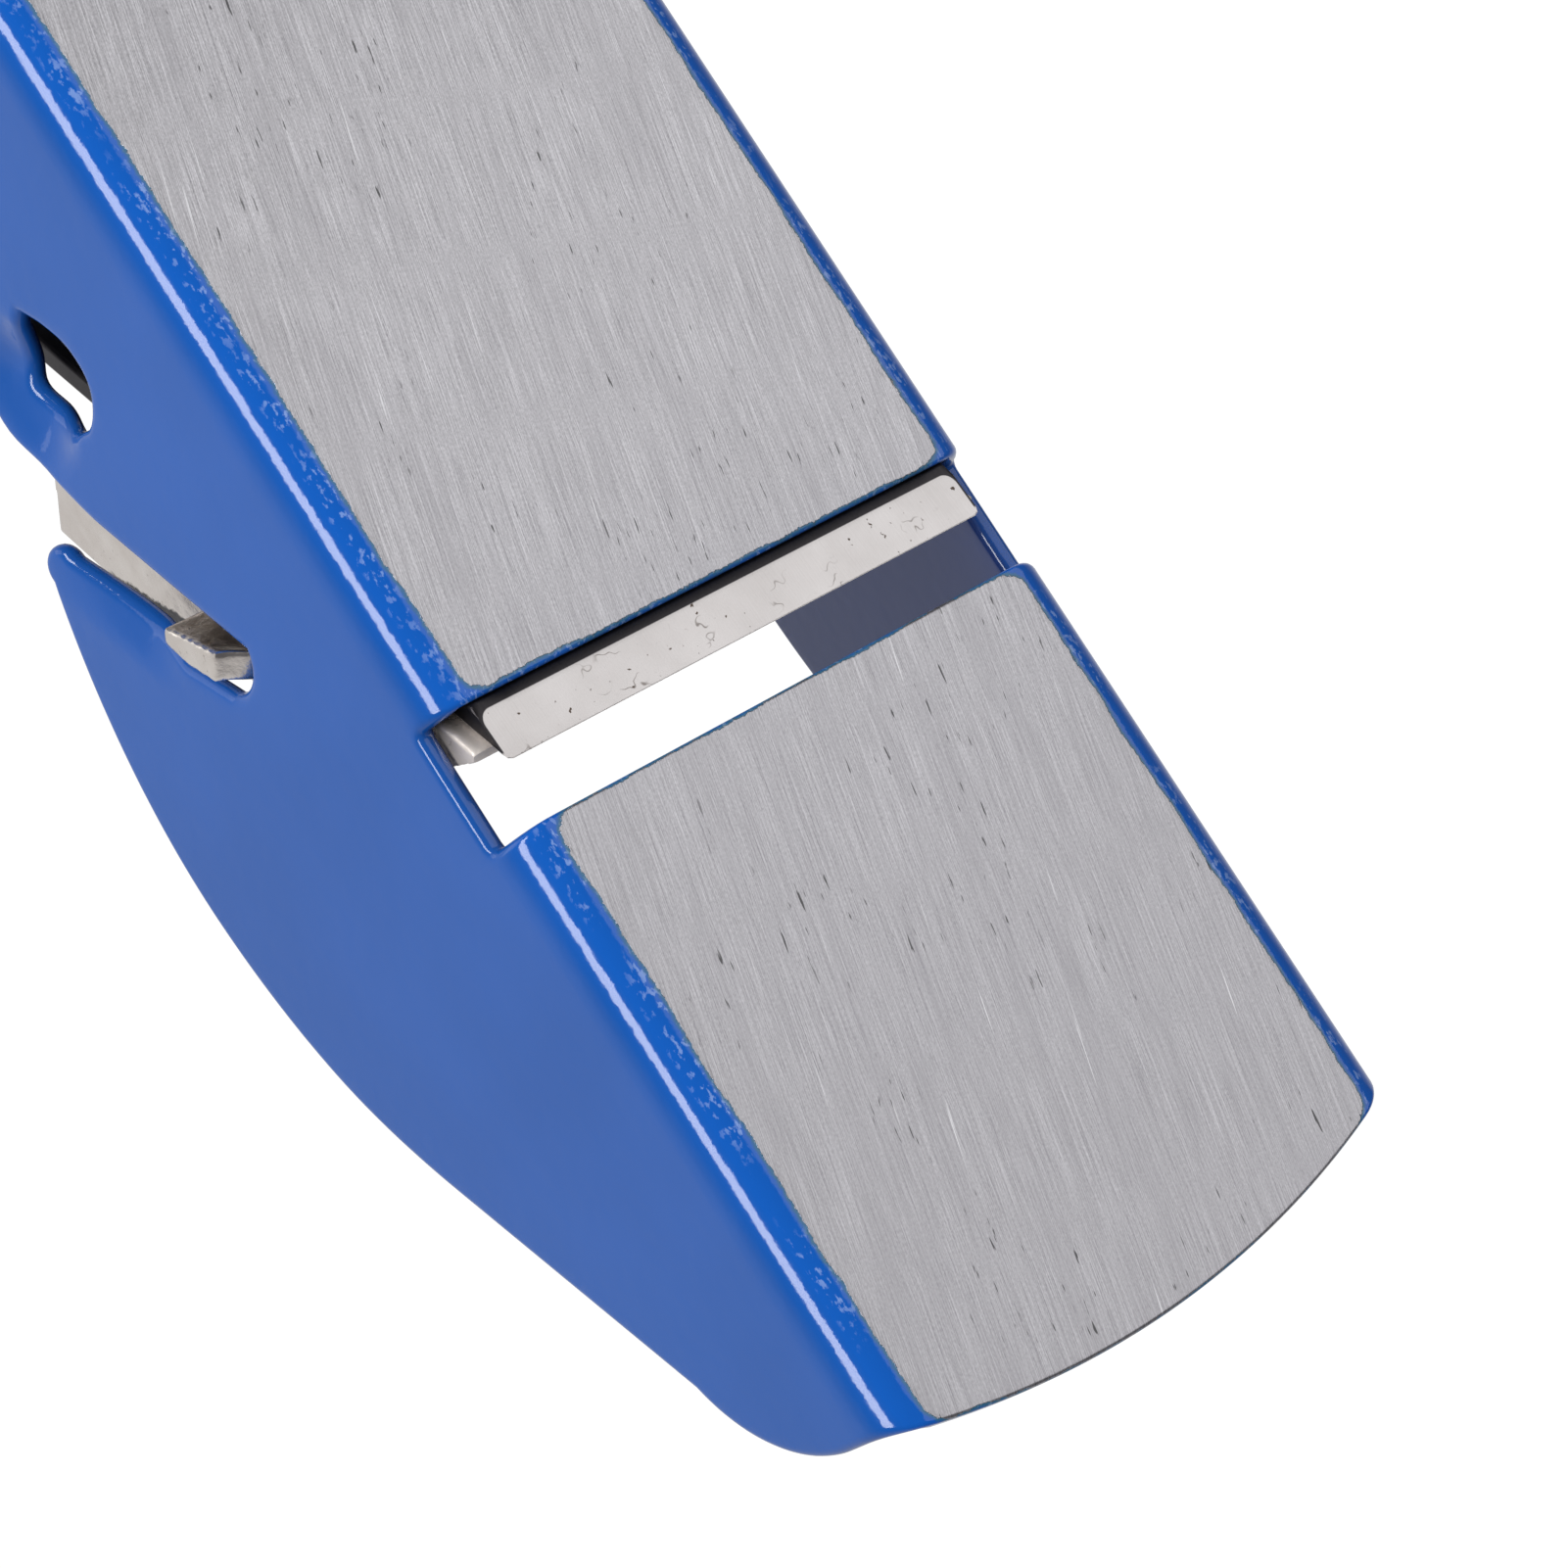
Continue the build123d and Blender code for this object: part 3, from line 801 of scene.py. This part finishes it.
def nickel():
    """Plated casting, with painted shade as a ragged band high on its sides and a duller nose."""
    n = Nodes("nickel")
    cast = n.noise(n.coords, 900, 4)
    fine = n.noise(n.coords, 4000, 2)
    tone = n.ramp(n.noise(n.coords, 260, 3), [(0.3, (0.66, 0.60, 0.55)), (0.7, (0.80, 0.75, 0.70))])
    spots = n.grey(n.noise(n.coords, 1500, 3), 0.68, 0.74)
    tone = n.mix(n.math("MULTIPLY", spots, 0.6), tone, (0.16, 0.13, 0.11))
    up_blade = n.measure(UP_BLADE, EDGE_POINT)
    above = n.measure(OFF_BLADE, EDGE_POINT)
    # Painted shade: a ragged band high on the cap's side walls, standing in for the shadow and reflection of
    # the pressed cheek edge.
    band = n.math("SUBTRACT", above, n.math("MULTIPLY", n.math("SUBTRACT", up_blade, 36.0), 0.22))
    band = n.math("ADD", band, n.grey(n.noise(n.coords, 1400, 3, 0.7), 0.3, 0.7, -0.2, 0.2))
    side = n.grey(n.math("ABSOLUTE", n.measure((0, 1, 0), (0, 0, 0))), 20.6, 20.9)
    along = n.math("MULTIPLY", n.grey(up_blade, 31.0, 32.0), n.grey(up_blade, 41.0, 42.5, 1.0, 0.0))
    pressed_edge_shade = n.math("MULTIPLY", n.math("MULTIPLY", side, along), n.grey(band, 11.3, 11.5))
    nose = n.grey(up_blade, 2.5, 6.0, 1.0, 0.0)
    rough = n.math("ADD", n.grey(cast, 0.3, 0.7, 0.16, 0.30), n.math("MULTIPLY", nose, 0.25))
    metal = n.math("SUBTRACT", 1.0, n.math("MULTIPLY", nose, 0.6))
    n.set(Base_Color=n.mix(pressed_edge_shade, tone, (0.03, 0.03, 0.035)), Metallic=metal, Roughness=rough,
          Normal=n.bump(fine, 0.00002, 0.4, n.bump(cast, 0.00012, 0.5)))
    return n.material


def brass():
    """Turned brass, slightly uneven in tone."""
    n = Nodes("brass_turned")
    fine = n.noise(n.coords, 3000, 2)
    tone = n.ramp(n.noise(n.coords, 300, 3), [(0.3, (0.62, 0.42, 0.17)), (0.7, (0.78, 0.57, 0.27))])
    n.set(Base_Color=tone, Metallic=1.0, Roughness=n.grey(fine, 0.3, 0.7, 0.2, 0.34),
          Normal=n.bump(fine, 0.00001, 0.25))
    return n.material


def bright_steel():
    """Screws, rivets and the cross pin."""
    n = Nodes("bright_steel")
    fine = n.noise(n.coords, 2500, 3)
    tone = n.ramp(n.noise(n.coords, 400, 3), [(0.3, (0.42, 0.42, 0.42)), (0.7, (0.58, 0.58, 0.58))])
    n.set(Base_Color=tone, Metallic=1.0, Roughness=n.grey(fine, 0.3, 0.7, 0.25, 0.4),
          Normal=n.bump(fine, 0.00002, 0.4))
    return n.material


def zinc():
    """Dull plating on the bed strip, the carriage and the washer."""
    n = Nodes("zinc_plate")
    cloud = n.noise(n.coords, 500, 4)
    tone = n.ramp(cloud, [(0.3, (0.46, 0.48, 0.5)), (0.7, (0.6, 0.61, 0.6))])
    n.set(Base_Color=tone, Metallic=1.0, Roughness=n.grey(cloud, 0.3, 0.7, 0.3, 0.45),
          Normal=n.bump(n.noise(n.coords, 2200, 3), 0.00003, 0.4))
    return n.material


def ground_steel():
    """Blade steel: a ground bevel, stains and hair-thin rust marks, and painted shade colouring the underside
    and lower sides deep grey past the bright strip.
    """
    n = Nodes("ground_steel")
    lines = n.noise(n.stretched((320, 7000, 320)), 1.0, 5, 0.75)
    cloud = n.noise(n.coords, 180, 3)
    tone = n.ramp(lines, [(0.3, (0.52, 0.495, 0.485)), (0.7, (0.72, 0.69, 0.68))])
    stains = n.ramp(cloud, [(0.3, (0.53, 0.50, 0.485)), (0.7, (0.72, 0.69, 0.68))])
    tone = n.mix(0.4, tone, stains)
    curl = n.math("ABSOLUTE", n.math("SUBTRACT", n.noise(n.coords, 420, 2), 0.5))
    clusters = n.grey(n.noise(n.coords, 240, 2), 0.55, 0.62)
    hairs = n.math("MULTIPLY", n.grey(curl, 0.002, 0.012, 1.0, 0.0), clusters)
    specks = n.grey(n.noise(n.coords, 1900, 2), 0.70, 0.74)
    tone = n.mix(n.math("MAXIMUM", n.math("MULTIPLY", hairs, 0.7), specks), tone, (0.10, 0.075, 0.06))
    side = n.math("SUBTRACT", BLADE_HALF - 0.15, n.math("ABSOLUTE", n.measure((0, 1, 0), (0, 0, 0))))
    # Painted shade: past the bright strip the underside and lower sides of the blade are mixed to a deep
    # grey.
    bright = n.rounded(n.math("SUBTRACT", BRIGHT_STRIP, n.measure(UP_BLADE, EDGE_POINT)), side, 0.9)
    underside_shade = n.grey(bright, -0.03, 0.03, 1.0, 0.0)
    underside_shade = n.math("MULTIPLY", underside_shade, n.grey(n.measure(OFF_BLADE, EDGE_POINT), -0.30, -0.22, 1.0, 0.0))
    tone = n.mix(underside_shade, tone, (0.045, 0.042, 0.045))
    n.set(Base_Color=tone, Metallic=1.0, Roughness=n.grey(lines, 0.3, 0.7, 0.3, 0.45),
          Normal=n.bump(lines, 0.00002, 0.5))
    return n.material


def enamel_and_sole():
    """Blue enamel with painted light making it brighter on the bends, and a ground sole with painted shade
    deepening it towards the toe.
    """
    n = Nodes("enamel_and_sole")
    peel = n.noise(n.coords, 620, 3)
    dust = n.noise(n.coords, 2600, 2)
    blue = n.ramp(n.noise(n.coords, 60, 2), [(0.3, (0.007, 0.078, 0.335)), (0.7, (0.01, 0.088, 0.375))])
    # Painted light: the enamel near the bends is mixed to a brighter blue than up the cheeks.
    blue = n.mix(n.grey(n.attribute("pad"), -5.0, -2.0), blue, (0.004, 0.104, 0.49))
    long_lines = n.noise(n.stretched((85, 15000, 85), -15), 1.0, 3, 0.8)
    short_lines = n.noise(n.stretched((260, 12000, 260), -12), 1.0, 3, 0.8)
    grain = n.noise(n.stretched((4500, 8000, 4500), -15), 1.0, 2, 0.6)
    lines = n.math("ADD", n.math("MULTIPLY", long_lines, 0.5), n.math("MULTIPLY", short_lines, 0.3))
    lines = n.math("ADD", lines, n.math("MULTIPLY", grain, 0.2))
    broad = n.noise(n.stretched((40, 500, 40), -15), 1.0, 3, 0.6)
    pits = n.noise(n.stretched((420, 3200, 420), -13), 1.0, 2, 0.5)
    hairs = n.noise(n.stretched((75, 3600, 75), -17), 1.0, 2, 0.5)
    toeward = n.measure((1, 0, 0), EDGE_POINT)
    tones = [(0.38, (0.24, 0.235, 0.25)), (0.5, (0.50, 0.49, 0.51)), (0.61, (0.79, 0.78, 0.81))]
    steel = n.ramp(lines, tones)
    steel = n.mix(n.grey(broad, 0.45, 0.65, 0.0, 0.3), steel, (0.38, 0.37, 0.39))
    # Painted shade: the ground steel is mixed towards a deeper grey towards the toe.
    steel = n.mix(n.grey(toeward, -60.0, 25.0, 0.03, 0.38), steel, (0.27, 0.262, 0.28))
    steel = n.mix(n.grey(hairs, 0.70, 0.75, 0.0, 0.55), steel, (0.9, 0.9, 0.92))
    pits = n.math("MULTIPLY", n.grey(pits, 0.665, 0.71), n.grey(n.noise(n.coords, 70, 2), 0.5, 0.56))
    steel = n.mix(n.math("MULTIPLY", pits, 0.85), steel, (0.05, 0.05, 0.05))
    edge = n.math("ADD", n.attribute("pad"), n.grey(n.noise(n.coords, 2400, 4, 0.7), 0.3, 0.7, -0.09, 0.09))
    edge = n.math("ADD", edge, n.grey(n.noise(n.coords, 220, 2), 0.3, 0.7, -0.16, 0.16))
    bare = n.grey(edge, -0.02, 0.03)
    fringe = n.math("SUBTRACT", n.grey(edge, -0.3, -0.02), bare)
    foam = n.grey(n.noise(n.stretched((1500, 2600, 2600)), 1.0, 4), 0.55, 0.62)
    foam = n.math("MULTIPLY", foam, n.grey(n.noise(n.coords, 130, 2), 0.38, 0.52))
    flecks = n.math("MULTIPLY", foam, n.grey(edge, -1.9, -0.8, 0.0, 0.5))
    colour = n.mix(flecks, blue, (0.35, 0.5, 0.85))
    colour = n.mix(n.math("MULTIPLY", fringe, 0.75), colour, (0.05, 0.16, 0.13))
    # Painted shade: the inner faces, deepest in the metal, are mixed to a deep, greyer navy.
    colour = n.mix(n.grey(n.attribute("depth"), 0.9, 1.5, 0.0, 0.9), colour, (0.02, 0.038, 0.145))
    n.set(Base_Color=n.mix(bare, colour, steel), Metallic=bare,
          Roughness=n.math("ADD", n.math("MULTIPLY", bare, n.grey(lines, 0.3, 0.7, 0.2, 0.34)), 0.1))
    normal = n.bump(peel, 0.00006, 0.55, n.bump(n.math("MULTIPLY", lines, bare), 0.00003, 0.6))
    normal = n.bump(dust, 0.00001, 0.15, normal)
    n.set(Normal=n.bump(bare, 0.00006, 0.6, normal))
    return n.material


def paint_pad_distance(piece):
    """Stores how far each point lies inside the ground pads, in millimetres."""
    mesh = piece.data
    layer = mesh.attributes.new("pad", "FLOAT", "POINT")
    values = []
    for v in mesh.vertices:
        x, y, z = v.co.x / MM - SHIFT, abs(v.co.y) / MM, v.co.z / MM
        inward = BEND_Y + PAD_OVERLAP - y
        if 0 < x < MOUTH_LENGTH:
            ends = -MOUTH_REAR_RIM
        elif x <= 0:
            ends = -x - MOUTH_REAR_RIM
        else:
            ends = x - MOUTH_LENGTH - MOUTH_FRONT_RIM
        ends = min(ends, TOE_REACH - bow(y) - x - END_RIM, HEEL_REACH - bow(y) + x - END_RIM)
        if inward < PAD_CORNER and ends < PAD_CORNER:
            value = PAD_CORNER - math.hypot(PAD_CORNER - inward, PAD_CORNER - ends)
        else:
            value = min(inward, ends)
        values.append(value if z < 0.5 else min(value, -1.0) - z)
    layer.data.foreach_set("value", np.array(values, np.float32))


# ---- assembly --------------------------------------------------------------------------
paint = enamel_and_sole()
nickel_plate = nickel()
steel = bright_steel()
plated = zinc()
turned_brass = brass()
body_sheet = body_piece(paint)
paint_pad_distance(body_sheet)
blade_piece(ground_steel())
cast_piece("cap_casting", "lever_cap", "cap", nickel_plate)
clamp_wheel_piece(nickel_plate)
clamp_stud_piece(steel)
softened("clamp_shoe", "clamp_foot", "foot", turned_brass, 0.2)
adjust_wheel_piece(turned_brass)
adjust_spindle_piece(steel)
softened("wheel_crosspin", "wheel_pin", "adjuster", steel, 0.15)
softened("thrust_washer", "adjust_washer", "adjuster", plated, 0.12)
softened("depth_carriage", "adjust_carriage", "blade", plated, 0.25)
softened("bed_strip", "bed_bracket", "frame", plated, 0.25)
softened("bed_rivet_pair", "bed_rivets", "frame", steel, 0.15)


# ---- stage -----------------------------------------------------------------------------
def camera():
    """From below the sole, on the left side, with the heel rising out of the picture."""
    data = bpy.data.cameras.new("camera")
    data.sensor_width = 36.0
    data.lens = 80.29
    data.clip_start = 0.01
    view = bpy.data.objects.new("camera", data)
    bpy.context.scene.collection.objects.link(view)
    right = Vector((0.53843, -0.73491, -0.41231))
    up = Vector((-0.83743, -0.41218, -0.35890))
    back = Vector((0.09382, 0.53852, -0.83737))
    view.matrix_world = Matrix((right, up, back)).transposed().to_4x4()
    view.location = to_frame((34.66, 123.62, -185.06))
    bpy.context.scene.camera = view


def soft_light(name, place, size, power):
    """Square or oblong area light, placed in millimetres and aimed at the plane."""
    data = bpy.data.lights.new(name, "AREA")
    data.shape = "RECTANGLE"
    data.size, data.size_y = size[0] * MM, size[1] * MM
    data.energy = power
    lamp = bpy.data.objects.new(name, data)
    bpy.context.scene.collection.objects.link(lamp)
    lamp.location = to_frame(place)
    lamp.rotation_mode = "QUATERNION"
    lamp.rotation_quaternion = (to_frame(LIGHTS_AIM) - lamp.location).to_track_quat("-Z", "Y")


def world():
    """White behind the plane, softer grey where it lights it."""
    sky = bpy.data.worlds.new("studio")
    sky.use_nodes = True
    tree = sky.node_tree
    nodes, links = tree.nodes, tree.links
    back = nodes["Background"]
    coords = nodes.new("ShaderNodeTexCoord")
    split = nodes.new("ShaderNodeSeparateXYZ")
    links.new(coords.outputs["Generated"], split.inputs["Vector"])
    ramp = nodes.new("ShaderNodeValToRGB")
    level = nodes.new("ShaderNodeMapRange")
    level.inputs["From Min"].default_value = -1
    links.new(split.outputs["Z"], level.inputs["Value"])
    links.new(level.outputs["Result"], ramp.inputs["Fac"])
    elements = ramp.color_ramp.elements
    elements[0].position, elements[0].color = 0.45, (0.12, 0.12, 0.13, 1)
    elements[1].position, elements[1].color = 0.72, (0.7, 0.7, 0.71, 1)
    links.new(ramp.outputs["Color"], back.inputs["Color"])
    white = nodes.new("ShaderNodeBackground")
    white.inputs["Color"].default_value = (1, 1, 1, 1)
    white.inputs["Strength"].default_value = 1.05
    rays = nodes.new("ShaderNodeLightPath")
    mix = nodes.new("ShaderNodeMixShader")
    links.new(rays.outputs["Is Camera Ray"], mix.inputs["Fac"])
    links.new(back.outputs["Background"], mix.inputs[1])
    links.new(white.outputs["Background"], mix.inputs[2])
    links.new(mix.outputs["Shader"], nodes["World Output"].inputs["Surface"])
    bpy.context.scene.world = sky


def floor():
    """Pale floor under the sole, seen only from above."""
    mesh = bpy.data.meshes.new("floor")
    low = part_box("plane_body")[0].z - FLOOR_GAP
    corners = [(FLOOR_REACH * i, FLOOR_REACH * j, low) for i, j in ((-1, -1), (1, -1), (1, 1), (-1, 1))]
    mesh.from_pydata(corners, [], [(0, 1, 2, 3)])
    piece = bpy.data.objects.new("floor", mesh)
    bpy.context.scene.collection.objects.link(piece)
    material = bpy.data.materials.new("floor")
    material.use_nodes = True
    tree = material.node_tree
    shader = tree.nodes["Principled BSDF"]
    shader.inputs["Base Color"].default_value = (0.86, 0.86, 0.86, 1)
    shader.inputs["Roughness"].default_value = 0.7
    clear = tree.nodes.new("ShaderNodeBsdfTransparent")
    side = tree.nodes.new("ShaderNodeNewGeometry")
    mix = tree.nodes.new("ShaderNodeMixShader")
    tree.links.new(side.outputs["Backfacing"], mix.inputs["Fac"])
    tree.links.new(shader.outputs["BSDF"], mix.inputs[1])
    tree.links.new(clear.outputs["BSDF"], mix.inputs[2])
    tree.links.new(mix.outputs["Shader"], tree.nodes["Material Output"].inputs["Surface"])
    mesh.materials.append(material)
    piece.visible_diffuse = False
    piece.visible_glossy = False
    piece.visible_transmission = False
    piece.visible_shadow = False


bpy.context.scene.view_settings.view_transform = "Standard"
world()
floor()
camera()
soft_light("below", (-20, -260, -420), (600, 600), 1.25)
soft_light("streak", (-90, 420, -230), (620, 130), 2.6)
soft_light("side", (-420, 330, 60), (300, 300), 0.3)
